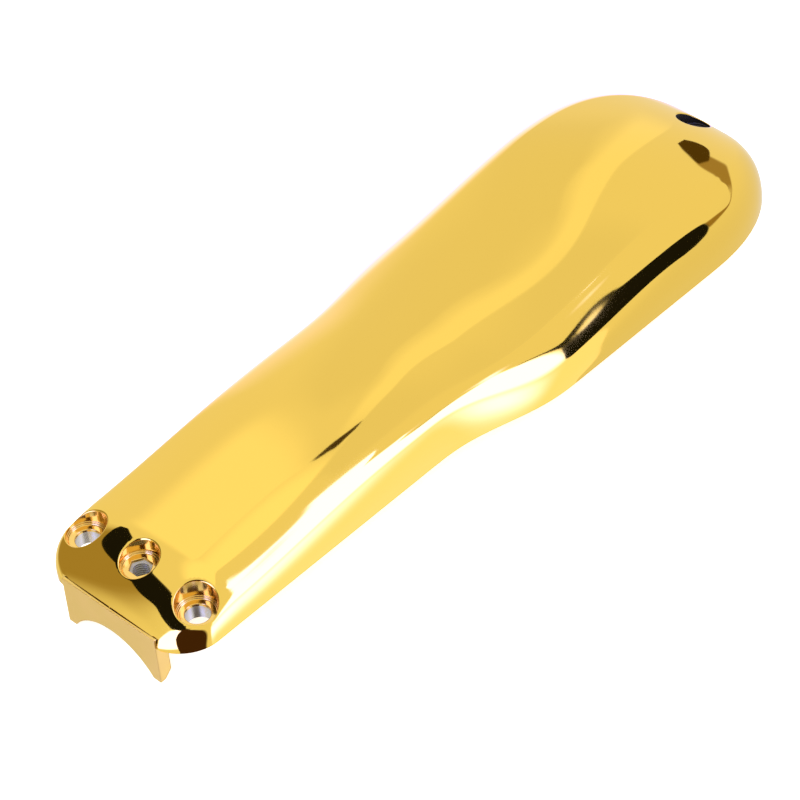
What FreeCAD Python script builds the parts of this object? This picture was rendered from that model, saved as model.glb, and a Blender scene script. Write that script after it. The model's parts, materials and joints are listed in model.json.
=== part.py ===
import FreeCAD, Part
import math
import os
import Sketcher

# Housing cover of a hair clipper: a thin gold plated lid with screw holes at its front and tail.
# +Y runs from the front lip to the tail, +Z up through the crown. The rim lies in the plane Z = 0,
# and the origin is where the centre screw's axis meets that plane.

doc = FreeCAD.newDocument("clipper_cover")

# Driving dimensions, in millimetres. Setbacks are measured from the front lip's edge.
DIMENSIONS = [
    ("cover_length", 150.7),
    ("front_half_width", 17.7),
    ("bulb_half_width", 22.7),
    ("flare_start", 59.0),
    ("flare_end", 90.0),
    ("lip_length", 13.9),
    ("lip_corner", 7.6),
    ("tail_plan_length", 26.7),
    ("tail_drop_length", 33.5),
    ("lip_height", 8.6),
    ("hump_setback", 59.0),
    ("hump_height", 11.9),
    ("saddle_setback", 77.0),
    ("saddle_height", 11.6),
    ("bulb_setback", 128.0),
    ("bulb_height", 15.8),
    ("front_shoulder", 2.9),
    ("bulb_shoulder", 6.4),
    ("front_crown_radius", 46.7),
    ("bulb_crown_radius", 65.0),
    ("wall_thickness", 1.9),
    ("rib_depth", 2.3),
    ("rib_thickness", 1.4),
    ("rib_first_setback", 37.0),
    ("rib_pitch", 30.0),
    ("front_screw_setback", 8.2),
    ("side_screw_offset", 13.1),
    ("side_mouth_radius", 3.65),
    ("side_floor_height", 3.2),
    ("side_hole_radius", 2.2),
    ("centre_mouth_radius", 3.45),
    ("centre_floor_height", 5.4),
    ("centre_hex_radius", 2.1),
    ("rear_screw_setback", 145.0),
    ("rear_mouth_radius", 3.0),
    ("rear_floor_height", 4.0),
    ("rear_hole_radius", 1.7),
    ("boss_wall", 1.3),
    ("floor_skin", 0.5),
    ("sleeve_radius", 3.1),
    ("insert_radius", 3.0),
    ("insert_bore_radius", 1.5),
    ("metal_chamfer", 0.25),
    ("bridge_half_width", 11.0),
    ("bridge_thickness", 2.6),
    ("bridge_rise", 1.9),
    ("notch_depth", 2.2),
    ("prong_depth", 8.2),
    ("prong_chamfer", 1.5),
    ("arch_half_width", 9.3),
    ("arch_depth", 3.2),
    ("tab_inner_offset", 5.4),
    ("tab_width", 2.8),
    ("tab_thickness", 1.0),
    ("tab_height", 1.8),
    ("tab_root", 1.5),
]

# Roundness of the form's edges, as superellipse exponents: 2 is an ellipse, more is squarer.
LIP_EXPONENT = 1.85
TAIL_PLAN_EXPONENT = 2.35
TAIL_DROP_EXPONENT = 1.86
FRONT_SHOULDER_EXPONENT = 3.0
BULB_SHOULDER_EXPONENT = 2.25

LIP_FLAT = 0.01          # the lip and the tail end in a narrow flat, this far inside the form's ends
TAIL_FLAT = 0.02

CUT_HEIGHT = 30.0        # taller than the cover, so that a cut from above always comes out
RIB_COUNT = 3


def add_sheet():
    """Make the spreadsheet of driving dimensions, one aliased cell in column B for each."""
    cells = doc.addObject("Spreadsheet::Sheet", "Dimensions")
    for row, (name, value) in enumerate(DIMENSIONS, start=1):
        cells.set("A%d" % row, name)
        cells.set("B%d" % row, str(value))
        cells.setAlias("B%d" % row, name)
    doc.recompute()
    return cells


sheet = add_sheet()


def size(name):
    """The value of one driving dimension."""
    return float(sheet.get(name))


def in_sheet(formula):
    """The formula with each word that names a cell turned into a reference to that cell."""
    names = [name for name, value in DIMENSIONS]
    return " ".join("Dimensions." + word if word in names else word for word in formula.split(" "))


def bind(item, prop, formula):
    """Bind a property to the sheet by a formula."""
    item.setExpression(prop, in_sheet(formula))


# ---------------------------------------------------------------- the cover's outer and inner form

def ease(start, end, where):
    """A smooth step from 0 at start to 1 at end, level at both."""
    part = min(max((where - start) / (end - start), 0.0), 1.0)
    return part ** 3 * (part * (6.0 * part - 15.0) + 10.0)


def quarter(distance, length, exponent):
    """Height of a quarter superellipse that rises from 0 at distance 0 to 1 at the given length."""
    gap = min(max(1.0 - distance / length, 0.0), 1.0)
    return (1.0 - gap ** exponent) ** (1.0 / exponent)


def half_width(setback, inset):
    """Half the cover's width at a setback, with the form drawn in by inset all round."""
    flare = ease(size("flare_start"), size("flare_end"), setback)
    width = size("front_half_width") - inset
    width += (size("bulb_half_width") - size("front_half_width")) * flare
    corner = size("lip_corner") - inset
    width -= corner * (1.0 - quarter(setback - inset, corner, LIP_EXPONENT))
    to_tail = size("cover_length") - inset - setback
    return width * quarter(to_tail, size("tail_plan_length"), TAIL_PLAN_EXPONENT)


def crown_line(setback):
    """Height of the crown's centre line: the lip, a hump, a shallow saddle and the rear bulb."""
    height = size("lip_height")
    height += (size("hump_height") - size("lip_height")) * ease(0.0, size("hump_setback"), setback)
    height += ((size("saddle_height") - size("hump_height"))
               * ease(size("hump_setback"), size("saddle_setback"), setback))
    height += ((size("bulb_height") - size("saddle_height"))
               * ease(size("saddle_setback"), size("bulb_setback"), setback))
    return height


def end_rounding(setback, inset):
    """How far the crown has risen, from 0 at the lip's edge and at the tail's edge to 1 between."""
    lip = quarter(setback - inset, size("lip_length") - inset, LIP_EXPONENT)
    to_tail = size("cover_length") - inset - setback
    return lip * quarter(to_tail, size("tail_drop_length"), TAIL_DROP_EXPONENT)


def section(setback, inset):
    """Points across the form at one setback, from the right rim over the crown to the left rim."""
    flare = ease(size("flare_start"), size("flare_end"), setback)
    width = max(half_width(setback, inset), 0.0)
    rounding = end_rounding(setback, inset)
    shoulder = size("front_shoulder") + (size("bulb_shoulder") - size("front_shoulder")) * flare
    shoulder = min(shoulder, 0.75 * width)
    exponent = FRONT_SHOULDER_EXPONENT + (BULB_SHOULDER_EXPONENT - FRONT_SHOULDER_EXPONENT) * flare
    radius = size("front_crown_radius")
    radius += (size("bulb_crown_radius") - size("front_crown_radius")) * flare
    shoulder_steps = 8
    crown_steps = 8
    half = []
    for step in range(shoulder_steps):
        angle = math.pi / 2.0 * step / shoulder_steps
        across = width - shoulder * (1.0 - math.cos(angle) ** (2.0 / exponent))
        half.append((across, math.sin(angle) ** (2.0 / exponent)))
    for step in range(crown_steps + 1):
        half.append(((width - shoulder) * (1.0 - step / crown_steps), 1.0))
    both = half + [(-across, rise) for across, rise in half[-2::-1]]
    y = setback - size("front_screw_setback")
    points = []
    for across, rise in both:
        crown = crown_line(setback) - inset - across ** 2 / (2.0 * radius)
        points.append(FreeCAD.Vector(across, y, crown * rounding * rise))
    return points


def form_setbacks(inset):
    """Where the sections are taken: close together on the round lip and the round tail."""
    lip_end = 15.0
    tail_start = 104.0
    last = size("cover_length") - inset
    lip = [inset + (lip_end - inset) * (1.0 - math.cos(math.pi / 2.0 * i / 9)) for i in range(9)]
    body = [lip_end + (tail_start - lip_end) * i / 22 for i in range(22)]
    tail = [tail_start + (last - tail_start) * math.sin(math.pi / 2.0 * i / 16) for i in range(17)]
    lip[0] += LIP_FLAT
    tail[-1] -= TAIL_FLAT
    return lip + body + tail


def add_form(name, inset):
    """A closed solid under one smooth surface, drawn in from the cover's outside by inset."""
    sections = [section(setback, inset) for setback in form_setbacks(inset)]
    flat = 1.0e-4
    faces = []
    for side in (0, 1):
        half = Part.BSplineSurface()
        half.interpolate(sections)
        along_first, along_last, first, last = half.bounds()
        middle = (first + last) / 2.0
        half.segment(along_first, along_last, *((first, middle) if side == 0 else (middle, last)))
        faces.append(half.toShape())
    edges = faces[0].Edges + faces[1].Edges
    outline = [edge for edge in edges if edge.BoundBox.ZMax < flat]
    for end in (sections[0], sections[-1]):
        line = Part.makeLine(end[0], end[-1])
        arch = [edge for edge in edges if edge.BoundBox.ZMax > flat
                and edge.BoundBox.YLength < flat and abs(edge.BoundBox.YMax - end[0].y) < flat]
        faces.append(Part.Face(Part.Wire(Part.__sortEdges__(arch + [line]))))
        outline.append(line)
    faces.append(Part.Face(Part.Wire(Part.__sortEdges__(outline))))
    skin = Part.Shell(faces)
    skin.sewShape()
    item = doc.addObject("Part::Feature", name)
    item.Shape = Part.Solid(skin)
    return item


# ---------------------------------------------------------------- small building blocks

def add_cylinder(name, x, setback, radius, bottom, top):
    """A vertical cylinder at a place given as formulas, from one height to another."""
    item = doc.addObject("Part::Cylinder", name)
    bind(item, "Radius", radius)
    bind(item, "Height", "( " + top + " ) - ( " + bottom + " )")
    bind(item, "Placement.Base.x", x)
    bind(item, "Placement.Base.y", setback + " - front_screw_setback")
    bind(item, "Placement.Base.z", bottom)
    return item


def add_box(name, low, lengths):
    """A box from its low corner and its lengths, both given as three formulas."""
    item = doc.addObject("Part::Box", name)
    for prop, formula in zip(("Length", "Width", "Height"), lengths):
        bind(item, prop, formula)
    for axis, formula in zip("xyz", low):
        bind(item, "Placement.Base." + axis, formula)
    return item


def add_joined(name, pieces):
    """Several solids fused into one."""
    item = doc.addObject("Part::MultiFuse", name)
    item.Shapes = pieces
    return item


def add_pair(kind, name, base, tool):
    """A Part::Cut or Part::Common of two objects."""
    item = doc.addObject(kind, name)
    item.Base = base
    item.Tool = tool
    return item


def origin_plane(body, role):
    """One of a body's own origin planes."""
    return next(item for item in body.Origin.OriginFeatures if item.Role == role)


def add_sketch(body, name, role):
    """An empty sketch on one of the body's origin planes."""
    sketch = body.newObject("Sketcher::SketchObject", name)
    sketch.AttachmentSupport = [(origin_plane(body, role), "")]
    sketch.MapMode = "FlatFace"
    return sketch


def add_outline(sketch, corners):
    """A closed run of straight lines, each joined to the next, through (x, y) corners."""
    first = sketch.GeometryCount
    count = len(corners)
    for index in range(count):
        start = FreeCAD.Vector(corners[index][0], corners[index][1], 0.0)
        after = corners[(index + 1) % count]
        sketch.addGeometry(Part.LineSegment(start, FreeCAD.Vector(after[0], after[1], 0.0)), False)
    for index in range(count):
        following = first + (index + 1) % count
        sketch.addConstraint(Sketcher.Constraint("Coincident", first + index, 2, following, 1))


def hold(sketch, kind, references, name, formula):
    """A named dimension on a sketch, bound to the sheet."""
    value = float(sheet.evalExpression(in_sheet(formula)))
    index = sketch.addConstraint(Sketcher.Constraint(kind, *references, value))
    sketch.renameConstraint(index, name)
    bind(sketch, "Constraints." + name, formula)


# ---------------------------------------------------------------- cover_shell

SIDES = (("left", "- side_screw_offset"), ("right", "side_screw_offset"))


def add_bosses(outer_form):
    """The screw bosses: columns from the rim plane up into the crown."""
    columns = []
    for side, x in SIDES:
        columns.append(add_cylinder(side.title() + "Boss", x, "front_screw_setback",
                                    "side_mouth_radius + boss_wall", "0", "lip_height"))
    columns.append(add_cylinder("CentreBoss", "0", "front_screw_setback",
                                "centre_mouth_radius + boss_wall", "0", "lip_height"))
    columns.append(add_cylinder("RearBoss", "0", "rear_screw_setback",
                                "rear_mouth_radius + boss_wall", "0", "bulb_height"))
    return add_pair("Part::Common", "Bosses", add_joined("BossColumns", columns), outer_form)


def add_ribs(outer_form):
    """Shallow ribs that run across the inside, from rim to rim over the crown."""
    slabs = []
    for index in range(RIB_COUNT):
        setback = "rib_first_setback + %d * rib_pitch - front_screw_setback" % index
        slabs.append(add_box("RibSlab%d" % (index + 1),
                             ("- bulb_half_width", setback, "0"),
                             ("2 * bulb_half_width", "rib_thickness", "bulb_height")))
    arches = add_pair("Part::Common", "RibArches", add_joined("RibSlabs", slabs), outer_form)
    below_ribs = add_form("BelowRibs", size("wall_thickness") + size("rib_depth"))
    return add_pair("Part::Cut", "Ribs", arches, below_ribs)


def add_screw_cuts():
    """Counterbores from above, holes through their floors, and the pockets that hold the metal."""
    above = "%g" % CUT_HEIGHT
    cuts = []
    for side, x in SIDES:
        title = side.title()
        cuts.append(add_cylinder(title + "Mouth", x, "front_screw_setback", "side_mouth_radius",
                                 "side_floor_height", above))
        cuts.append(add_cylinder(title + "Hole", x, "front_screw_setback", "side_hole_radius",
                                 "-1", above))
        cuts.append(add_cylinder(title + "Pocket", x, "front_screw_setback", "sleeve_radius",
                                 "-1", "side_floor_height - floor_skin"))
    cuts.append(add_cylinder("CentreMouth", "0", "front_screw_setback", "centre_mouth_radius",
                             "centre_floor_height", above))
    cuts.append(add_cylinder("CentrePocket", "0", "front_screw_setback", "insert_radius",
                             "-1", "centre_floor_height - floor_skin"))
    hexagon = doc.addObject("Part::Prism", "CentreHexagon")
    hexagon.Polygon = 6
    bind(hexagon, "Circumradius", "centre_hex_radius")
    bind(hexagon, "Height", "centre_floor_height")
    bind(hexagon, "Placement.Base.z", "floor_skin")
    cuts.append(hexagon)
    cuts.append(add_cylinder("RearMouth", "0", "rear_screw_setback", "rear_mouth_radius",
                             "rear_floor_height", above))
    cuts.append(add_cylinder("RearHole", "0", "rear_screw_setback", "rear_hole_radius",
                             "-1", above))
    return cuts


def add_lip_notch():
    """The notch under the lip that the front bridge fills."""
    return add_box("LipNotch",
                   ("- bridge_half_width", "-1 - front_screw_setback", "-1"),
                   ("2 * bridge_half_width", "1 + notch_depth", "1 + bridge_rise"))


def add_cover_shell():
    """The thin moulded shell, with its bosses, ribs, screw holes and rim."""
    outer_form = add_form("OuterForm", 0.0)
    inner_form = add_form("InnerForm", size("wall_thickness"))
    skin = add_pair("Part::Cut", "Skin", outer_form, inner_form)
    moulding = add_joined("Moulding", [skin, add_bosses(outer_form), add_ribs(outer_form)])
    cuts = add_joined("ShellCuts", add_screw_cuts() + [add_lip_notch()])
    shell = add_pair("Part::Cut", "CoverShell", moulding, cuts)
    shell.Label = "cover_shell"
    return shell


# ---------------------------------------------------------------- front_bridge

def add_front_bridge():
    """The wall under the lip: an arch between two pointed prongs, with two tabs behind the lip."""
    body = doc.addObject("PartDesign::Body", "FrontBridge")
    body.Label = "front_bridge"
    bind(body, "Placement.Base.y", "- front_screw_setback")
    wide = size("bridge_half_width")
    arch = size("arch_half_width")
    deep = size("prong_depth")
    crown = size("arch_depth")

    # The face, seen along Y. Line 0 is the top, then clockwise to the arch, which comes last.
    face = add_sketch(body, "FaceSketch", "XZ_Plane")
    run = [(-wide, 0.0), (wide, 0.0), (wide, -deep), (arch, -deep), (-arch, -deep), (-wide, -deep)]
    lines = [(0, 1), (1, 2), (2, 3), (4, 5), (5, 0)]
    for start, end in lines:
        face.addGeometry(Part.LineSegment(FreeCAD.Vector(run[start][0], run[start][1], 0.0),
                                          FreeCAD.Vector(run[end][0], run[end][1], 0.0)), False)
    face.addGeometry(Part.Arc(FreeCAD.Vector(arch, -deep, 0.0), FreeCAD.Vector(0.0, -crown, 0.0),
                              FreeCAD.Vector(-arch, -deep, 0.0)), False)
    arc = 5
    for first, first_end, second, second_end in ((0, 2, 1, 1), (1, 2, 2, 1), (3, 2, 4, 1), (4, 2, 0, 1),
                                                 (2, 2, arc, 1), (3, 1, arc, 2)):
        face.addConstraint(Sketcher.Constraint("Coincident", first, first_end, second, second_end))
    for line, kind in ((0, "Horizontal"), (1, "Vertical"), (2, "Horizontal"), (3, "Horizontal"),
                       (4, "Vertical")):
        face.addConstraint(Sketcher.Constraint(kind, line))
    face.addConstraint(Sketcher.Constraint("Symmetric", 0, 1, 0, 2, -1, 1))
    face.addConstraint(Sketcher.Constraint("PointOnObject", arc, 3, -2))
    hold(face, "DistanceX", (0, 1, 0, 2), "width", "2 * bridge_half_width")
    hold(face, "DistanceY", (1, 2, 1, 1), "depth", "prong_depth")
    hold(face, "DistanceX", (3, 1, 2, 2), "span", "2 * arch_half_width")
    hold(face, "Radius", (arc,), "arch",
         "( arch_half_width ^ 2 + ( prong_depth - arch_depth ) ^ 2 ) / ( 2 * ( prong_depth - arch_depth ) )")
    wall = body.newObject("PartDesign::Pad", "Wall")
    wall.Profile = face
    wall.Reversed = True
    bind(wall, "Length", "bridge_thickness")

    # The strip of the wall that fills the notch in the lip, seen from above.
    strip = add_sketch(body, "StripSketch", "XY_Plane")
    back = size("notch_depth")
    add_outline(strip, [(-wide, 0.0), (wide, 0.0), (wide, back), (-wide, back)])
    for line, kind in ((0, "Horizontal"), (1, "Vertical"), (2, "Horizontal"), (3, "Vertical")):
        strip.addConstraint(Sketcher.Constraint(kind, line))
    strip.addConstraint(Sketcher.Constraint("Symmetric", 0, 1, 0, 2, -1, 1))
    hold(strip, "DistanceX", (0, 1, 0, 2), "width", "2 * bridge_half_width")
    hold(strip, "DistanceY", (1, 1, 1, 2), "depth", "notch_depth")
    rise = body.newObject("PartDesign::Pad", "Rise")
    rise.Profile = strip
    bind(rise, "Length", "bridge_rise")

    # The tabs' side view: up behind the lip, and rooted in the back of the wall.
    near = size("tab_inner_offset")
    tabs = add_sketch(body, "TabSketch", "XY_Plane")
    front = size("bridge_thickness")
    for sign in (-1.0, 1.0):
        add_outline(tabs, [(sign * near, front), (sign * (near + size("tab_width")), front),
                           (sign * (near + size("tab_width")), front + size("tab_thickness")),
                           (sign * near, front + size("tab_thickness"))])
    for first, sign in ((0, -1), (4, 1)):
        for line, kind in ((0, "Horizontal"), (1, "Vertical"), (2, "Horizontal"), (3, "Vertical")):
            tabs.addConstraint(Sketcher.Constraint(kind, first + line))
        name = "left" if sign < 0 else "right"
        start, end = ((first, 2), (first, 1)) if sign < 0 else ((first, 1), (first, 2))
        hold(tabs, "DistanceX", start + end, name + "_width", "tab_width")
        hold(tabs, "DistanceY", (first + 1, 1, first + 1, 2), name + "_thickness", "tab_thickness")
        hold(tabs, "DistanceY", (-1, 1, first, 1), name + "_front", "bridge_thickness")
        span = (first, 1, -1, 1) if sign < 0 else (-1, 1, first, 1)
        hold(tabs, "DistanceX", span, name + "_offset", "tab_inner_offset")
    standing = body.newObject("PartDesign::Pad", "TabsUp")
    standing.Profile = tabs
    standing.SideType = "Two sides"
    bind(standing, "Length", "tab_height")
    bind(standing, "Length2", "tab_root")
    doc.recompute()

    # The prongs' back corners are cut off, so that each ends in a point.
    corners = []
    back_plane = size("bridge_thickness")
    for index, edge in enumerate(standing.Shape.Edges, start=1):
        box = edge.BoundBox
        at_bottom = box.ZMax < -size("prong_depth") + 0.01
        at_back = box.YMin > back_plane - 0.01
        if at_bottom and at_back:
            corners.append("Edge%d" % index)
    points = body.newObject("PartDesign::Chamfer", "ProngPoints")
    points.Base = (standing, corners)
    bind(points, "Size", "prong_chamfer")
    return body


# ---------------------------------------------------------------- metal in the screw holes

def add_metal_ring(name, x, setback, outer, bore, height):
    """A chamfered metal ring, turned about its screw's axis. It stands on the rim plane."""
    body = doc.addObject("PartDesign::Body", name.title().replace("_", ""))
    body.Label = name
    bind(body, "Placement.Base.x", x)
    bind(body, "Placement.Base.y", setback + " - front_screw_setback")
    profile = add_sketch(body, body.Name + "Profile", "XZ_Plane")
    inside = size(bore)
    outside = size(outer)
    top = size("side_floor_height") - size("floor_skin")
    bevel = size("metal_chamfer")
    add_outline(profile, [(inside, 0.0), (outside - bevel, 0.0), (outside, bevel),
                          (outside, top - bevel), (outside - bevel, top), (inside, top)])
    for line, kind in ((0, "Horizontal"), (2, "Vertical"), (4, "Horizontal"), (5, "Vertical")):
        profile.addConstraint(Sketcher.Constraint(kind, line))
    profile.addConstraint(Sketcher.Constraint("PointOnObject", 0, 1, -1))
    hold(profile, "DistanceX", (-1, 1, 0, 1), "bore", bore)
    hold(profile, "DistanceX", (-1, 1, 1, 2), "outside", outer)
    hold(profile, "DistanceY", (5, 2, 5, 1), "height", height)
    for line, corner in ((1, "low"), (3, "high")):
        start, end = (1, 2) if corner == "low" else (2, 1)
        hold(profile, "DistanceX", (line, start, line, end), corner + "_across", "metal_chamfer")
        hold(profile, "DistanceY", (line, 1, line, 2), corner + "_up", "metal_chamfer")
    ring = body.newObject("PartDesign::Revolution", body.Name + "Ring")
    ring.Profile = profile
    ring.ReferenceAxis = (profile, ["V_Axis"])
    ring.Angle = 360.0
    return body


def add_metal():
    """A plain sleeve in each side hole, and the threaded insert under the centre hole."""
    rings = []
    for side, x in SIDES:
        rings.append(add_metal_ring(side + "_screw_sleeve", x, "front_screw_setback", "sleeve_radius",
                                    "side_hole_radius", "side_floor_height - floor_skin"))
    rings.append(add_metal_ring("centre_thread_insert", "0", "front_screw_setback",
                                "insert_radius", "insert_bore_radius",
                                "centre_floor_height - floor_skin"))
    return rings


# ---------------------------------------------------------------- build, test and export

nodes = [add_cover_shell(), add_front_bridge()] + add_metal()
doc.recompute()

for item in doc.Objects:
    for state in item.State:
        if state in ("Invalid", "Error"):
            raise RuntimeError("%s is in state %s" % (item.Label, state))
for node in nodes:
    if node.Shape.isNull() or not node.Shape.isValid():
        raise RuntimeError("%s has no valid shape" % node.Label)

os.makedirs("parts", exist_ok=True)
for node in nodes:
    node.Shape.exportStep("parts/%s.step" % node.Label)
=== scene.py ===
import json
import math
from collections import namedtuple

import bmesh
import bpy
import numpy as np
from mathutils import Matrix, Vector
from mathutils.geometry import delaunay_2d_cdt

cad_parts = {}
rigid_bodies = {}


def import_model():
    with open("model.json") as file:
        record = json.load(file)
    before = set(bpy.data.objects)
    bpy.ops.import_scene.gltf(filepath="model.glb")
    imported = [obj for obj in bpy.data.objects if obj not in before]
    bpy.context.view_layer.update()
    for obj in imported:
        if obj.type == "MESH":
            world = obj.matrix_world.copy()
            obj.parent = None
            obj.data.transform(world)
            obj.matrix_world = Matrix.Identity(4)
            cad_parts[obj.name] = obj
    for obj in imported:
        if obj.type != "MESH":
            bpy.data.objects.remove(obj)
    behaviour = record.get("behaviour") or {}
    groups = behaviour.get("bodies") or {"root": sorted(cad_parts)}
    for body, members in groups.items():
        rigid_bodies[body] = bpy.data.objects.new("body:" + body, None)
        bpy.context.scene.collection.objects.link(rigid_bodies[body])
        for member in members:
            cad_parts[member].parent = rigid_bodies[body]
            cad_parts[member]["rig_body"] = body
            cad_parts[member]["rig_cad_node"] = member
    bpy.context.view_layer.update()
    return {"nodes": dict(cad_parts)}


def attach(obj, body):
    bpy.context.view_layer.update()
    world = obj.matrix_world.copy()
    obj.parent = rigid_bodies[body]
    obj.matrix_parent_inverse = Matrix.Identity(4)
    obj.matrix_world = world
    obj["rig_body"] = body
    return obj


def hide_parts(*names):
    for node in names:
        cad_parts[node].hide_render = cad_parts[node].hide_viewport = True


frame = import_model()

# Looks for the gold plated housing cover. Lengths are in millimetres, and add_mesh turns them into metres.
MM = 0.001

# ------------------------------------------------------------------ the cover's form, as in the CAD
LENGTH = 150.7
FRONT_HALF, BULB_HALF = 17.7, 22.7
FLARE = (59.0, 90.0)
LIP_LENGTH, LIP_CORNER, LIP_N = 13.9, 7.6, 1.85
TAIL_PLAN, TAIL_PLAN_N = 26.7, 2.35
TAIL_DROP, TAIL_DROP_N = 33.5, 1.86
LIP_HEIGHT = 8.6
CROWN_STEPS = ((0.0, 59.0, 3.3), (59.0, 77.0, -0.3), (77.0, 128.0, 4.2))
FRONT_SHOULDER, BULB_SHOULDER = 2.9, 6.4
FRONT_N, BULB_N = 3.0, 2.25
FRONT_RADIUS, BULB_RADIUS = 46.7, 65.0
ORIGIN_SETBACK = 8.2
LIP_END = 15.0
TAIL_START = 104.0
TAIL_FLAT = 0.02
NOTCH_HALF, NOTCH_TOP = 11.0, 1.9
SHOULDER_SHARE = 0.75
# The skin is this much flatter than the form, so that its top isn't above the faceted CAD shell's top.
CROWN_TRIM = 0.999


def ease(start, end, where):
    part = np.clip((where - start) / (end - start), 0.0, 1.0)
    return part ** 3 * (part * (6.0 * part - 15.0) + 10.0)


def quarter(distance, length, exponent):
    gap = np.clip(1.0 - distance / length, 0.0, 1.0)
    return (1.0 - gap ** exponent) ** (1.0 / exponent)


def section_sizes(setback):
    """Half width, shoulder width and shoulder exponent of the outer form at each setback."""
    flare = ease(*FLARE, setback)
    width = FRONT_HALF + (BULB_HALF - FRONT_HALF) * flare
    width = width - LIP_CORNER * (1.0 - quarter(setback, LIP_CORNER, LIP_N))
    width = width * quarter(LENGTH - setback, TAIL_PLAN, TAIL_PLAN_N)
    shoulder = FRONT_SHOULDER + (BULB_SHOULDER - FRONT_SHOULDER) * flare
    shoulder = np.minimum(shoulder, SHOULDER_SHARE * width)
    return width, shoulder, FRONT_N + (BULB_N - FRONT_N) * flare


def surface(setback, across):
    """Outer surface points. Across runs from -1 at the left rim to 1 at the right rim."""
    setback, across = np.broadcast_arrays(np.asarray(setback, float), np.asarray(across, float))
    width, shoulder, exponent = section_sizes(setback)
    flare = ease(*FLARE, setback)
    reach = np.abs(across)
    angle = np.clip((1.0 - reach) * 2.0, 0.0, 1.0) * math.pi / 2.0
    on_shoulder = width - shoulder * (1.0 - np.cos(angle) ** (2.0 / exponent))
    x = np.where(reach > 0.5, on_shoulder, (width - shoulder) * reach * 2.0)
    rise = np.sin(angle) ** (2.0 / exponent)
    radius = FRONT_RADIUS + (BULB_RADIUS - FRONT_RADIUS) * flare
    crown = LIP_HEIGHT + sum(change * ease(start, end, setback) for start, end, change in CROWN_STEPS)
    rounding = (quarter(setback, LIP_LENGTH, LIP_N)
                * quarter(LENGTH - setback, TAIL_DROP, TAIL_DROP_N))
    z = (crown - x ** 2 / (2.0 * radius)) * rounding * rise * CROWN_TRIM
    return np.stack([np.sign(across) * x, setback - ORIGIN_SETBACK, z], axis=-1)


def across_of(setback, x):
    """The across value of the surface point over (x, setback)."""
    width, shoulder, exponent = section_sizes(np.asarray(setback, float))
    reach = np.abs(x)
    cosine = np.clip(1.0 - (width - reach) / shoulder, 0.0, 1.0) ** (exponent / 2.0)
    on_shoulder = 1.0 - np.arccos(cosine) / math.pi
    flat = 0.5 * reach / (width - shoulder)
    return np.sign(x) * np.where(reach > width - shoulder, on_shoulder, flat)


# ------------------------------------------------------------------ the shell's outer skin
LIP_ROWS, BODY_ROWS, TAIL_ROWS = 44, 230, 90
ROWS = LIP_ROWS + BODY_ROWS + TAIL_ROWS
COLUMNS = 144
# The holes' patches: rows over the front ones, and setbacks and a half width in columns over the rear one.
FRONT_PATCH = (3, LIP_ROWS + 6)
REAR_PATCH = (140.8, 148.8)
REAR_PATCH_HALF = 30


def setback_of_row(row):
    """Rows lie close together on the round lip and on the round tail."""
    row = np.asarray(row, float)
    lip = LIP_END * (1.0 - np.cos(math.pi / 2.0 * np.clip(row / LIP_ROWS, 0.0, 1.0)))
    body = (TAIL_START - LIP_END) * np.clip((row - LIP_ROWS) / BODY_ROWS, 0.0, 1.0)
    tail = np.clip((row - LIP_ROWS - BODY_ROWS) / TAIL_ROWS, 0.0, 1.0)
    return lip + body + (LENGTH - TAIL_FLAT - TAIL_START) * np.sin(math.pi / 2.0 * tail)


def row_of_setback(setback):
    setback = np.asarray(setback, float)
    lip = LIP_ROWS * np.arccos(np.clip(1.0 - setback / LIP_END, -1.0, 1.0)) / (math.pi / 2.0)
    body = LIP_ROWS + BODY_ROWS * (setback - LIP_END) / (TAIL_START - LIP_END)
    share = np.clip((setback - TAIL_START) / (LENGTH - TAIL_FLAT - TAIL_START), 0.0, 1.0)
    tail = LIP_ROWS + BODY_ROWS + TAIL_ROWS * np.arcsin(share) / (math.pi / 2.0)
    return np.where(setback < LIP_END, lip, np.where(setback < TAIL_START, body, tail))


HEX_APOTHEM = 2.1 * math.cos(math.pi / 6.0)

# The mouth and the bore are radii, the floor and the bottom are heights. No bore radius means six sides.
Hole = namedtuple("Hole", "x setback mouth floor bore bottom")
HOLES = (
    Hole(-13.1, 8.2, 3.65, 3.2, 2.2, 2.7),
    Hole(13.1, 8.2, 3.65, 3.2, 2.2, 2.7),
    Hole(0.0, 8.2, 3.45, 5.4, None, 4.9),
    Hole(0.0, 145.0, 3.0, 4.0, 1.7, 0.0),
)
REAR_HOLE = 3
MOUTH_ROUND = 0.28
FLOOR_ROUND = 0.2
BORE_ROUND = 0.12
WALL_STEP = 0.16
WALL_STEP_DEPTHS = (0.35, 0.65)
RING_POINTS = 180
ROUND_RINGS = 6


def distance_to(hole, x, setback):
    return math.hypot(x - hole.x, setback - hole.setback)


def ring_angles():
    return np.linspace(0.0, 2.0 * math.pi, RING_POINTS, endpoint=False)


def bore_radius(hole, angle):
    if hole.bore is not None:
        return np.full_like(angle, hole.bore)
    turned = np.mod(angle, math.pi / 3.0) - math.pi / 6.0
    return HEX_APOTHEM / np.cos(turned)


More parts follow.
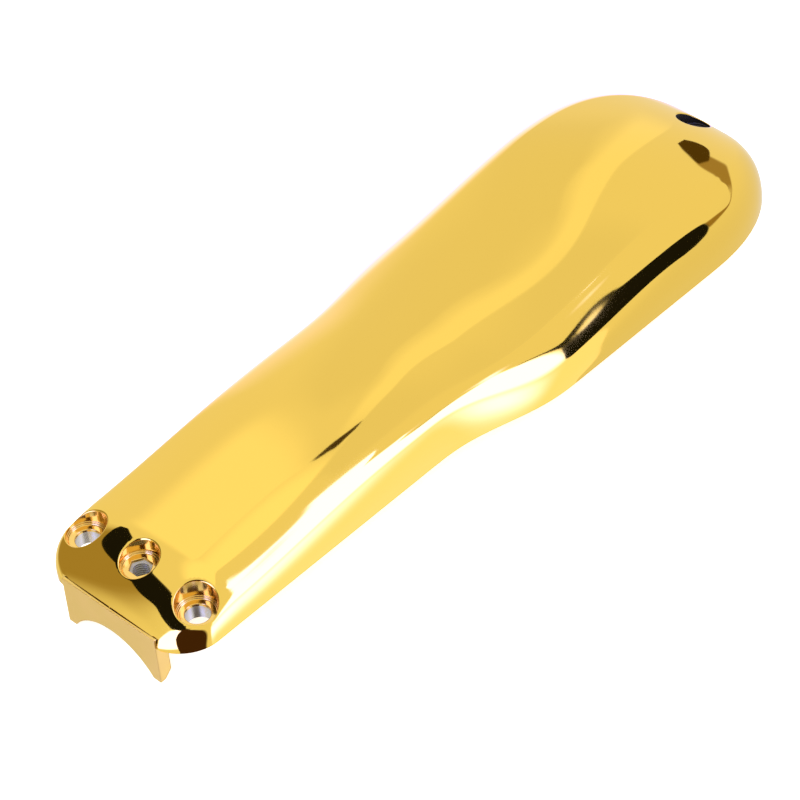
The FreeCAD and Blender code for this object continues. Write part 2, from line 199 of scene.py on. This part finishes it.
def add_patch(points, faces, rows, columns, holes):
    """Triangles over a window of the row and column grid, with round holes cut out of it. Rings round each
    hole's rounded mouth take the place of the grid there. Gives the first point of each innermost ring."""
    row_low, row_high = rows
    column_low, column_high = columns
    clearance = MOUTH_ROUND + 0.12
    flat, places = [], []
    for row in range(row_low, row_high + 1):
        setback = float(setback_of_row(row))
        for column in range(column_low, column_high + 1):
            spot = surface(setback, 2.0 * column / COLUMNS - 1.0)
            border = row in (row_low, row_high) or column in (column_low, column_high)
            near = any(distance_to(hole, spot[0], setback) < hole.mouth + clearance for hole in holes)
            if border or not near:
                flat.append(Vector((row, column)))
                places.append(row * (COLUMNS + 1) + column)
    edges, rings = [], []
    for hole in holes:
        angle = ring_angles()
        for ring in range(ROUND_RINGS + 1):
            turn = math.pi / 2.0 * ring / ROUND_RINGS
            radius = hole.mouth + MOUTH_ROUND * (1.0 - math.cos(turn))
            x = hole.x + radius * np.cos(angle)
            setback = hole.setback + radius * np.sin(angle)
            across = across_of(setback, x)
            spots = surface(setback, across)
            spots[:, 2] -= MOUTH_ROUND * (1.0 - math.sin(turn))
            first = len(points)
            points.extend(spots)
            start = len(flat)
            ring_rows = row_of_setback(setback)
            ring_columns = (across + 1.0) * COLUMNS / 2.0
            for index in range(RING_POINTS):
                flat.append(Vector((float(ring_rows[index]), float(ring_columns[index]))))
                places.append(first + index)
            edges += [(start + i, start + (i + 1) % RING_POINTS) for i in range(RING_POINTS)]
            if ring == 0:
                rings.append(first)
    found = delaunay_2d_cdt(flat, edges, [], 0, 1.0e-7)
    origin = [places[source[0]] for source in found[3]]
    for face in found[2]:
        corners = [origin[index] for index in face]
        x, y, _ = np.mean([points[index] for index in corners], axis=0)
        if not any(distance_to(hole, x, y + ORIGIN_SETBACK) < hole.mouth - 0.002 for hole in holes):
            faces.append(corners)
    return rings


def arc_levels(radius, height, size, start, end):
    """Rings of a quarter circle in the profile, round a centre at (radius, height)."""
    turns = np.linspace(math.radians(start), math.radians(end), 5)
    return [(radius + size * math.cos(turn), height + size * math.sin(turn)) for turn in turns]


def hole_levels(hole, angle, top):
    """Rings down the counterbore's stepped wall, over its floor and down its bore, each as a radius and a
    height at every angle. Top is the height of the mouth's ring."""
    inner = bore_radius(hole, angle)
    around = np.ones(RING_POINTS)
    # The wall's first ring follows the mouth, and from just under the mouth's lowest point all are level.
    lowest = float(top.min()) - 0.05
    levels = [(hole.mouth * around, np.minimum(top - 0.02, lowest + 0.9 * (top - lowest))),
              (hole.mouth * around, lowest * around)]
    arcs = []
    wall = hole.mouth
    half = WALL_STEP / 2.0
    for share in WALL_STEP_DEPTHS:
        height = lowest - (lowest - hole.floor) * share
        arcs += arc_levels(wall - half, height, half, 0.0, -90.0)
        wall -= WALL_STEP
        arcs += arc_levels(wall + half, height - WALL_STEP, half, 90.0, 180.0)[1:]
    foot = wall - FLOOR_ROUND
    arcs += arc_levels(foot, hole.floor + FLOOR_ROUND, FLOOR_ROUND, 0.0, -90.0)
    levels += [(radius * around, height * around) for radius, height in arcs]
    for share in (0.05, 0.5, 0.95):
        levels.append((foot + (inner + BORE_ROUND - foot) * share, hole.floor * around))
    for radius, height in arc_levels(BORE_ROUND, hole.floor - BORE_ROUND, BORE_ROUND, 90.0, 180.0):
        levels.append((inner + radius, height * around))
    levels.append((inner, hole.bottom * around))
    return levels


def add_hole(points, faces, hole, ring):
    """The counterbore and the bore under it, hung from the mouth's ring."""
    angle = ring_angles()
    top = np.array([points[ring + index][2] for index in range(RING_POINTS)])
    before = ring
    for radius, height in hole_levels(hole, angle, top):
        first = len(points)
        x = hole.x + radius * np.cos(angle)
        y = hole.setback - ORIGIN_SETBACK + radius * np.sin(angle)
        points.extend(np.stack([x, y, height], axis=-1))
        for index in range(RING_POINTS):
            after = (index + 1) % RING_POINTS
            faces.append([before + index, before + after, first + after, first + index])
        before = first


def shape_notch(points):
    """End the lip at the front bridge's top edge, instead of at the rim plane."""
    deepest = 2.0
    setbacks = np.linspace(0.0, deepest, 400)
    for index, (x, y, z) in enumerate(points):
        if abs(x) < NOTCH_HALF and y + ORIGIN_SETBACK < deepest and z < NOTCH_TOP:
            heights = surface(setbacks, across_of(setbacks, x))[:, 2]
            setback = np.interp(NOTCH_TOP, heights, setbacks)
            points[index] = np.array([x, setback - ORIGIN_SETBACK, NOTCH_TOP])


def outer_skin():
    """Points and faces of the whole outside, with its counterbores."""
    rows = np.arange(ROWS + 1)
    columns = 2.0 * np.arange(COLUMNS + 1) / COLUMNS - 1.0
    grid = surface(setback_of_row(rows)[:, None], columns[None, :])
    points = list(grid.reshape(-1, 3))
    faces = []
    rear_rows = (int(row_of_setback(REAR_PATCH[0])), int(row_of_setback(REAR_PATCH[1])) + 1)
    rear_columns = (COLUMNS // 2 - REAR_PATCH_HALF, COLUMNS // 2 + REAR_PATCH_HALF)
    for row in range(ROWS):
        for column in range(COLUMNS):
            in_front = FRONT_PATCH[0] <= row < FRONT_PATCH[1]
            in_rear = (rear_rows[0] <= row < rear_rows[1]
                       and rear_columns[0] <= column < rear_columns[1])
            if not in_front and not in_rear:
                corner = row * (COLUMNS + 1) + column
                faces.append([corner, corner + COLUMNS + 1, corner + COLUMNS + 2, corner + 1])
    last = ROWS * (COLUMNS + 1)
    faces.append(list(range(last, last + COLUMNS + 1)))
    rings = add_patch(points, faces, FRONT_PATCH, (0, COLUMNS), HOLES[:REAR_HOLE])
    rings += add_patch(points, faces, rear_rows, rear_columns, HOLES[REAR_HOLE:])
    for hole, ring in zip(HOLES, rings):
        add_hole(points, faces, hole, ring)
    shape_notch(points)
    return points, faces


def is_outside(centre):
    """Whether a CAD face lies on the outer form or in a counterbore, which the new skin replaces."""
    x, y, z = centre
    setback = y + ORIGIN_SETBACK
    slack = 0.02
    for hole in HOLES:
        if distance_to(hole, x, setback) < hole.mouth + 0.03 and z > hole.bottom + slack:
            return True
    if z < slack:
        return False
    width = float(section_sizes(np.array(setback))[0])
    if abs(x) >= width - slack:
        return True
    # A facet's centre lies further under the form where the form is steep: by the rim and at both ends.
    top = float(surface(setback, across_of(setback, x))[2])
    from_end = min(setback, LENGTH - setback)
    by_rim = max(0.0, 1.0 - (width - abs(x)))
    by_end = max(0.0, 1.0 - from_end / 3.0)
    return z > top - (0.3 + 2.0 * by_rim + 0.5 * by_end) or from_end < 0.5


def add_mesh(name, points, faces):
    mesh = bpy.data.meshes.new(name)
    mesh.from_pydata([tuple(float(value) * MM for value in point) for point in points], [], faces)
    mesh.update()
    item = bpy.data.objects.new(name, mesh)
    bpy.context.scene.collection.objects.link(item)
    return item


def build_cover():
    """The mirror-smooth outer skin."""
    points, faces = outer_skin()
    cover = add_mesh("cover_skin", points, faces)
    work = bmesh.new()
    work.from_mesh(cover.data)
    bmesh.ops.remove_doubles(work, verts=work.verts, dist=2.0e-7)
    loose = [vertex for vertex in work.verts if not vertex.link_faces]
    bmesh.ops.delete(work, geom=loose, context="VERTS")
    bmesh.ops.recalc_face_normals(work, faces=work.faces)
    for face in work.faces:
        face.smooth = True
    work.to_mesh(cover.data)
    work.free()
    return cover


def build_inside():
    """The rim, the inner walls, the ribs and the bosses, taken from the CAD shell."""
    source = frame["nodes"]["cover_shell"]
    item = source.copy()
    item.data = source.data.copy()
    item.name = "cover_inside"
    item.data.name = "cover_inside"
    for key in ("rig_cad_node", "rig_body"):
        if key in item:
            del item[key]
    bpy.context.scene.collection.objects.link(item)
    work = bmesh.new()
    work.from_mesh(item.data)
    gone = [face for face in work.faces if is_outside(face.calc_center_median() / MM)]
    bmesh.ops.delete(work, geom=gone, context="FACES")
    work.to_mesh(item.data)
    work.free()
    return item


def build_insert():
    """The ring under the centre hole, with its thread cut as a row of ridges in the bore."""
    outside, crest, root, bevel, height, pitch = 3.0, 1.5, 1.78, 0.25, 4.9, 0.5
    profile = [(outside - bevel, 0.0), (outside, bevel), (outside, height - bevel),
               (outside - bevel, height), (crest + 0.35, height)]
    turns = int((height - 0.4) / pitch)
    for turn in range(turns):
        top = height - 0.2 - pitch * turn
        profile += [(crest, top - 0.05), (crest, top - 0.12), (root, top - 0.28), (root, top - 0.34)]
    profile += [(crest, 0.3), (crest + 0.3, 0.0)]
    count = 96
    points, faces = [], []
    for index in range(count):
        angle = 2.0 * math.pi * index / count
        points += [(radius * math.cos(angle), radius * math.sin(angle), level)
                   for radius, level in profile]
    size = len(profile)
    for index in range(count):
        here, after = index * size, (index + 1) % count * size
        for step in range(size):
            following = (step + 1) % size
            faces.append([here + step, after + step, after + following, here + following])
    return add_mesh("thread_insert", points, faces)


cover = build_cover()
inside = build_inside()
insert = build_insert()
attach(insert, "root")
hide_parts("centre_thread_insert")
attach(cover, "root")
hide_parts("cover_shell")
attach(inside, "root")

# ------------------------------------------------------------------ camera
AZIMUTH, ELEVATION, ROLL = math.radians(48.296), math.radians(44.43), math.radians(-6.401)
DISTANCE = 824.249
TARGET = Vector((0.0, 66.466, 0.0))
SENSOR, LENS = 36.0, 216.3
SHIFT_X, SHIFT_Y = -0.0286, -0.0386


def add_camera():
    back = Vector((math.sin(AZIMUTH) * math.cos(ELEVATION), -math.cos(AZIMUTH) * math.cos(ELEVATION),
                   math.sin(ELEVATION)))
    right = Vector((math.cos(AZIMUTH), math.sin(AZIMUTH), 0.0))
    up = back.cross(right)
    side = right * math.cos(ROLL) + up * math.sin(ROLL)
    top = -right * math.sin(ROLL) + up * math.cos(ROLL)
    place = (TARGET + back * DISTANCE) * MM
    data = bpy.data.cameras.new("camera")
    data.sensor_width = SENSOR
    data.lens = LENS
    data.shift_x = SHIFT_X
    data.shift_y = SHIFT_Y
    data.clip_start = 0.01
    data.clip_end = 20.0
    camera = bpy.data.objects.new("camera", data)
    bpy.context.scene.collection.objects.link(camera)
    camera.matrix_world = Matrix.Translation(place) @ Matrix((side, top, back)).transposed().to_4x4()
    bpy.context.scene.camera = camera


add_camera()

# ------------------------------------------------------------------ materials
def new_material(name, colour, metallic, roughness):
    material = bpy.data.materials.new(name)
    material.use_nodes = True
    shader = material.node_tree.nodes["Principled BSDF"]
    shader.inputs["Base Color"].default_value = (*colour, 1.0)
    shader.inputs["Metallic"].default_value = metallic
    shader.inputs["Roughness"].default_value = roughness
    return material, material.node_tree, shader


def add_node(tree, kind, **values):
    node = tree.nodes.new(kind)
    for key, value in values.items():
        if key in node.inputs:
            node.inputs[key].default_value = value
        else:
            setattr(node, key, value)
    return node


def add_bump(tree, shader, layers, edge=0.0):
    """Chain bump layers: (noise scale per metre, detail, distance in metres, stretch). With an edge
    radius, the piece's sharp edges are also shaded as if they were rounded."""
    coordinates = add_node(tree, "ShaderNodeTexCoord")
    before = add_node(tree, "ShaderNodeBevel", Radius=edge) if edge else None
    for scale, detail, distance, stretch in layers:
        mapping = add_node(tree, "ShaderNodeMapping", Scale=stretch)
        noise = add_node(tree, "ShaderNodeTexNoise", Scale=scale, Detail=detail, Roughness=0.5)
        bump = add_node(tree, "ShaderNodeBump", Strength=1.0, Distance=distance)
        tree.links.new(coordinates.outputs["Object"], mapping.inputs["Vector"])
        tree.links.new(mapping.outputs["Vector"], noise.inputs["Vector"])
        tree.links.new(noise.outputs["Fac"], bump.inputs["Height"])
        if before:
            tree.links.new(before.outputs["Normal"], bump.inputs["Normal"])
        before = bump
    tree.links.new(before.outputs["Normal"], shader.inputs["Normal"])
    return coordinates


def vary_roughness(tree, shader, coordinates, scale, low, high):
    """Roughness that wanders between low and high."""
    noise = add_node(tree, "ShaderNodeTexNoise", Scale=scale, Detail=4.0)
    spread = add_node(tree, "ShaderNodeMapRange")
    spread.inputs["From Min"].default_value = 0.3
    spread.inputs["From Max"].default_value = 0.7
    spread.inputs["To Min"].default_value = low
    spread.inputs["To Max"].default_value = high
    tree.links.new(coordinates.outputs["Object"], noise.inputs["Vector"])
    tree.links.new(noise.outputs["Fac"], spread.inputs["Value"])
    tree.links.new(spread.outputs["Result"], shader.inputs["Roughness"])


def mirror_gold():
    material, tree, shader = new_material("mirror_gold", (1.0, 0.67, 0.12), 1.0, 0.05)
    coordinates = add_bump(tree, shader, [(22.0, 2.0, 0.00003, (1.0, 0.4, 1.0)),
                                          (900.0, 3.0, 0.0000004, (1.0, 1.0, 1.0))])
    vary_roughness(tree, shader, coordinates, 60.0, 0.025, 0.06)
    return material


def inside_gold():
    material, tree, shader = new_material("inside_gold", (0.95, 0.62, 0.14), 1.0, 0.3)
    coordinates = add_bump(tree, shader, [(1500.0, 3.0, 0.000004, (1.0, 1.0, 1.0))])
    vary_roughness(tree, shader, coordinates, 90.0, 0.26, 0.38)
    return material


def satin_gold():
    material, tree, shader = new_material("satin_gold", (1.0, 0.68, 0.17), 1.0, 0.35)
    coordinates = add_bump(tree, shader, [(2500.0, 3.0, 0.000003, (1.0, 1.0, 1.0))], 0.0004)
    vary_roughness(tree, shader, coordinates, 200.0, 0.3, 0.42)
    return material


def bore_gold():
    """The front counterbores' walls are plated like the outside, but less smooth."""
    material, tree, shader = new_material("bore_gold", (0.93, 0.62, 0.17), 1.0, 0.12)
    coordinates = add_bump(tree, shader, [(1800.0, 2.0, 0.000003, (1.0, 1.0, 3.0))])
    vary_roughness(tree, shader, coordinates, 200.0, 0.08, 0.16)
    return material


def painted_shade_bore():
    """Painted shade: the rear counterbore's inside is coloured near black, so that the hole looks dark."""
    material, tree, shader = new_material("painted_shade_bore", (0.02, 0.014, 0.01), 0.0, 0.5)
    coordinates = add_bump(tree, shader, [(1800.0, 2.0, 0.000003, (1.0, 1.0, 1.0))])
    vary_roughness(tree, shader, coordinates, 200.0, 0.4, 0.6)
    return material


def turned_steel():
    material, tree, shader = new_material("turned_steel", (0.72, 0.68, 0.6), 1.0, 0.25)
    coordinates = add_bump(tree, shader, [(1200.0, 2.0, 0.000004, (1.0, 1.0, 12.0))])
    vary_roughness(tree, shader, coordinates, 300.0, 0.2, 0.35)
    return material


def rough_steel():
    material, tree, shader = new_material("rough_steel", (0.36, 0.34, 0.28), 0.0, 0.5)
    coordinates = add_bump(tree, shader, [(2500.0, 4.0, 0.00001, (1.0, 1.0, 1.0))])
    vary_roughness(tree, shader, coordinates, 400.0, 0.3, 0.55)
    return material


def clothe(item, material):
    item.data.materials.clear()
    item.data.materials.append(material)


def clothe_cover():
    """Mirror gold all over, apart from the counterbores' insides."""
    clothe(cover, mirror_gold())
    cover.data.materials.append(bore_gold())
    # The third material is painted shade: a near-black colour for the rear counterbore's inside.
    cover.data.materials.append(painted_shade_bore())
    for face in cover.data.polygons:
        x, y, z = face.center / MM
        for index, hole in enumerate(HOLES):
            if distance_to(hole, x, y + ORIGIN_SETBACK) < hole.mouth + 0.01:
                face.material_index = 2 if index == REAR_HOLE else 1


clothe_cover()
clothe(inside, inside_gold())
clothe(frame["nodes"]["front_bridge"], satin_gold())
steel = turned_steel()
clothe(frame["nodes"]["left_screw_sleeve"], steel)
clothe(frame["nodes"]["right_screw_sleeve"], steel)
clothe(insert, rough_steel())

# ------------------------------------------------------------------ studio
# Studio cards stand round the cover's middle, apart from one that stands round the lip's right corner.
MIDDLE = Vector((0.0, 67.0, 0.0))
LIP_CORNER_MIDDLE = Vector((15.0, -4.0, 2.0))
ROOM_LIGHT = 0.88
FLOOR_LIGHT = 0.7
bpy.context.scene.view_settings.view_transform = "Standard"


def add_world():
    world = bpy.data.worlds.new("studio")
    bpy.context.scene.world = world
    world.use_nodes = True
    world.node_tree.nodes["Background"].inputs["Color"].default_value = (1.0, 1.0, 1.0, 1.0)
    world.node_tree.nodes["Background"].inputs["Strength"].default_value = ROOM_LIGHT


def glow(name, light):
    """Light of one colour, which fades out with the mesh attribute "cover"."""
    material = bpy.data.materials.new(name)
    material.use_nodes = True
    tree = material.node_tree
    tree.nodes.clear()
    fade = add_node(tree, "ShaderNodeAttribute", attribute_name="cover")
    clear = add_node(tree, "ShaderNodeBsdfTransparent")
    strength = max(light)
    colour = tuple(part / strength for part in light)
    emission = add_node(tree, "ShaderNodeEmission", Color=(*colour, 1.0), Strength=strength)
    mix = add_node(tree, "ShaderNodeMixShader")
    output = add_node(tree, "ShaderNodeOutputMaterial")
    tree.links.new(fade.outputs["Fac"], mix.inputs["Fac"])
    tree.links.new(clear.outputs["BSDF"], mix.inputs[1])
    tree.links.new(emission.outputs["Emission"], mix.inputs[2])
    tree.links.new(mix.outputs["Shader"], output.inputs["Surface"])
    return material


def ramp(share, width):
    """A soft step from 0 at the card's edge to 1 at the given share of the card."""
    if width <= 0.0:
        return 1.0
    part = min(max(share / width, 0.0), 1.0)
    return part * part * (3.0 - 2.0 * part)


def smooth_between(where, stops, values):
    """A smooth curve through the values at the stops."""
    index = int(np.clip(np.searchsorted(stops, where) - 1, 0, len(stops) - 2))
    slopes = np.gradient(values, stops)
    span = stops[index + 1] - stops[index]
    part = (where - stops[index]) / span
    rise = values[index + 1] - values[index]
    start, end = slopes[index] * span, slopes[index + 1] * span
    return (values[index] + part * start + part ** 2 * (3.0 * rise - 2.0 * start - end)
            + part ** 3 * (start + end - 2.0 * rise))


def add_card(name, light, radius, outline, soft=(0.0, 0.0, 0.0, 0.0), upright=True, middle=MIDDLE):
    """A studio card on a sphere round the given middle. An upright card's outline is (elevation, left
    and right azimuth), a level card's is (azimuth, low and high elevation), all in degrees. Soft gives
    the share of the card that fades at its low side, high side, start and end."""
    along, low, high = np.array(outline, float).T
    long_steps, wide_steps = 96, 24
    points, faces, covers = [], [], []
    for i in range(long_steps + 1):
        reach = i / long_steps
        here = along[0] + (along[-1] - along[0]) * reach
        first, last = smooth_between(here, along, low), smooth_between(here, along, high)
        for j in range(wide_steps + 1):
            share = j / wide_steps
            across = first + (last - first) * share
            azimuth, elevation = (across, here) if upright else (here, across)
            azimuth, elevation = math.radians(azimuth), math.radians(elevation)
            ray = Vector((math.cos(azimuth) * math.cos(elevation),
                          math.sin(azimuth) * math.cos(elevation), math.sin(elevation)))
            points.append(middle + ray * radius)
            covers.append(ramp(share, soft[0]) * ramp(1.0 - share, soft[1])
                          * ramp(reach, soft[2]) * ramp(1.0 - reach, soft[3]))
    for i in range(long_steps):
        for j in range(wide_steps):
            corner = i * (wide_steps + 1) + j
            faces.append([corner, corner + 1, corner + wide_steps + 2, corner + wide_steps + 1])
    card = add_mesh(name, points, faces)
    card.data.attributes.new("cover", "FLOAT", "POINT").data.foreach_set("value", covers)
    clothe(card, glow(name, light))
    card.visible_camera = False
    card.visible_diffuse = False
    card.visible_shadow = False
    card.visible_transmission = False
    card.visible_volume_scatter = False


def grey(strength):
    return (strength, strength, strength)


add_world()

# The big soft key on the near side: warm at its foot, and much stronger in its core.
WARM, CORE = (1.15, 1.12, 1.33), (2.0, 2.2, 8.0)
add_card("key_warm", WARM, 206.0, ((-52, -12, 43), (-33, -12, 39), (-20, -12, 34), (-8, -12, 31),
                                   (0, -11, 29), (30, -2, 28.8), (40, 0, 29.3), (47, 0, 30.8),
                                   (54, 0, 35), (59, 0, 38)), (0.06, 0.0, 0.0, 0.0))
add_card("key_foot", CORE, 204.0, ((-48, -11, 19), (-15, -11, 25), (0, -10, 29), (14, -7, 30)),
         (0.1, 0.7, 0.5, 0.4))
add_card("key_core", CORE, 203.0, ((0, -9, 28), (30, -2, 28.2), (40, 0, 29.2), (47, 0, 30.6),
                                   (54, 0, 34.6), (60, 0, 45), (66, 4, 56)), (0.08, 0.03, 0.14, 0.1))
add_card("key_fill", CORE, 204.5, ((52, -2, 36), (60, -1, 48), (70, 0, 56), (78, 1, 62), (82, 3, 64)),
         (0.1, 0.2, 0.2, 0.3))
add_card("key_top", CORE, 310.0, ((8, 46, 62), (20, 54, 74), (30, 62, 79), (38, 65.5, 82),
                                  (45, 68, 83), (60, 71.5, 83.6), (75, 72, 82.8), (87, 71, 82.4)),
         (0.0, 0.1, 0.3, 0.0), upright=False)

# What the near side of the tail mirrors: a dark strip, and a thin trail that rises into a crescent.
add_card("dark_side", grey(0.01), 200.0, ((-7.5, 39, 41), (-4, 34.5, 43.5), (-1, 29.8, 45),
                                          (4, 27.1, 45.5), (6.5, 27.0, 45), (11, 27.1, 37.5),
                                          (16, 27.3, 33), (22, 27.9, 29.9), (30, 28.3, 29.3),
                                          (46, 30.2, 30.8)), (0.0, 0.04, 0.0, 0.0))
add_card("trail", (0.32, 0.22, 0.08), 201.0, ((45, -2, 6.6), (50, -0.5, 5.4), (60, 2.4, 3.6),
                                              (66, 6.5, 8.5), (72, 11, 14)),
         (0.25, 0.25, 0.0, 0.5), upright=False)
add_card("crescent", (0.36, 0.27, 0.14), 200.0, ((62, 3.6, 4.6), (66, 6, 9.5), (72.5, 10.5, 15.5),
                                                 (80, 14, 21.5), (90, 16, 24), (97.5, 15.5, 24.5),
                                                 (103, 15, 22), (105, 15, 19)),
         (0.2, 0.08, 0.3, 0.0), upright=False)
add_card("crescent_end", (0.08, 0.05, 0.01), 199.0, ((101.5, 19.5, 22.5), (103, 15.5, 22),
                                                     (104.5, 12, 20.8), (106.5, 11, 18.8),
                                                     (108, 12.5, 16.5)),
         (0.0, 0.1, 0.1, 0.0), upright=False)

# What the front lip mirrors: a dim ground, a small white window and dark surroundings.
add_card("dim_front", (0.37, 0.29, 0.13), 310.0, ((-16, -176, -113), (10, -176, -111),
                                                  (20, -176, -109), (41, -176, -109)),
         (0.12, 0.2, 0.3, 0.0))
add_card("half_front", grey(0.75), 314.0, ((-60, -168, -100), (-14, -160, -110)),
         (0.3, 0.2, 0.0, 0.3))
add_card("white_front", CORE, 305.0, ((-31, -103.5, -64), (-24, -104, -66), (-7, -105, -71),
                                      (13, -106, -76), (31, -107.5, -82), (37, -107, -85),
                                      (43, -103, -88)),
         (0.02, 0.0, 0.1, 0.0))
add_card("dark_front", grey(0.01), 300.0, ((-175, 39.5, 43), (-172, 38.5, 45), (-167, 38, 48),
                                           (-158, 37.5, 50), (-148, 38.5, 52), (-137, 40, 55),
                                           (-128, 40.5, 58), (-118, 38.5, 61), (-113, 41, 61),
                                           (-109.5, 38, 60), (-104, 42, 57), (-96, 43, 55),
                                           (-84, 43, 50), (-60, 34, 46)),
         (0.0, 0.05, 0.0, 0.2), upright=False)
add_card("dark_right", (0.05, 0.022, 0.01), 100.0, ((-62, -60, 4), (-46, -62, 5), (-28, -65, 5),
                                                    (-7, -69, 2), (16, -77.5, -8), (30, -83, -20),
                                                    (45, -90, -38), (58, -97, -66)),
         (0.0, 0.08, 0.05, 0.0), middle=LIP_CORNER_MIDDLE)

# The far side, the room behind the tail, and small differences over the crown.
add_card("bright_far", (1.3, 1.25, 3.2), 210.0, ((-55, 116, 174), (-2, 119, 173), (8, 128, 172),
                                                 (16, 136, 172), (24, 145, 168), (29, 151, 162)),
         (0.12, 0.2, 0.0, 0.3))
add_card("lower_wall", grey(0.8), 326.0, ((-60, 36, 112), (0, 38, 110), (16, 62, 98)),
         (0.1, 0.2, 0.0, 0.5))
add_card("bright_top", grey(1.12), 330.0, ((70, 120, 240), (90, 120, 240)), (0.0, 0.2, 0.4, 0.0))
add_card("crown_left", grey(0.83), 216.0, ((56, 88, 120.5), (66, 88, 120.5), (82, 88, 120.5)),
         (0.2, 0.0, 0.4, 0.1))
add_card("crown_right", grey(1.06), 218.0, ((36, 162, 188), (50, 155, 192), (62, 147, 196),
                                            (76, 134, 200)), (0.4, 0.3, 0.3, 0.0))
add_card("crown_wedge", grey(0.83), 214.0, ((10, 118, 130), (20, 121, 150), (30, 123, 158),
                                            (40, 127, 161), (48, 133, 158), (56, 133.5, 153),
                                            (63, 133, 147)), (0.08, 0.35, 0.2, 0.2))
add_card("crown_band", grey(1.02), 212.0, ((1, 112, 119), (10, 111.5, 119), (18, 112, 120.5),
                                           (30, 114, 124), (38, 116, 128), (45, 118, 134),
                                           (50, 120, 135), (57, 121, 134), (66, 120.5, 134),
                                           (76, 120, 135)), (0.05, 0.5, 0.2, 0.2))
add_card("streak", (0.06, 0.04, 0.02), 200.0, ((121, 68, 70.5), (125, 70, 74), (132, 72.4, 75.4),
                                               (140, 74.8, 76.2), (146, 75.7, 76.1)),
         (0.1, 0.1, 0.0, 0.3), upright=False)


def add_floor():
    """A plain pale floor through the prongs' tips and the tail's rim, where the cover rests."""
    drop = -8.2
    slope = -drop / LENGTH
    reach = 3000.0
    points = []
    for x, y in ((-reach, -reach), (reach, -reach), (reach, reach), (-reach, reach)):
        points.append((x, y, drop - 0.05 + slope * (y + ORIGIN_SETBACK)))
    floor = add_mesh("floor", points, [[0, 1, 2, 3]])
    material, tree, shader = new_material("pale_floor", (0.93, 0.93, 0.93), 0.0, 0.9)
    shader.inputs["Emission Color"].default_value = (1.0, 1.0, 1.0, 1.0)
    shader.inputs["Emission Strength"].default_value = FLOOR_LIGHT
    add_bump(tree, shader, [(300.0, 2.0, 0.00001, (1.0, 1.0, 1.0))])
    clothe(floor, material)
    floor.visible_glossy = False


def add_lamp(name, place, size, watts):
    data = bpy.data.lights.new(name, "AREA")
    data.shape = "SQUARE"
    data.size = size * MM
    data.energy = watts
    lamp = bpy.data.objects.new(name, data)
    lamp.location = Vector(place) * MM
    lamp.rotation_euler = (MIDDLE * MM - lamp.location).to_track_quat("-Z", "Y").to_euler()
    lamp.visible_glossy = False
    bpy.context.scene.collection.objects.link(lamp)


add_floor()
add_lamp("overhead", (0.0, 67.0, 1600.0), 1800.0, 22.0)
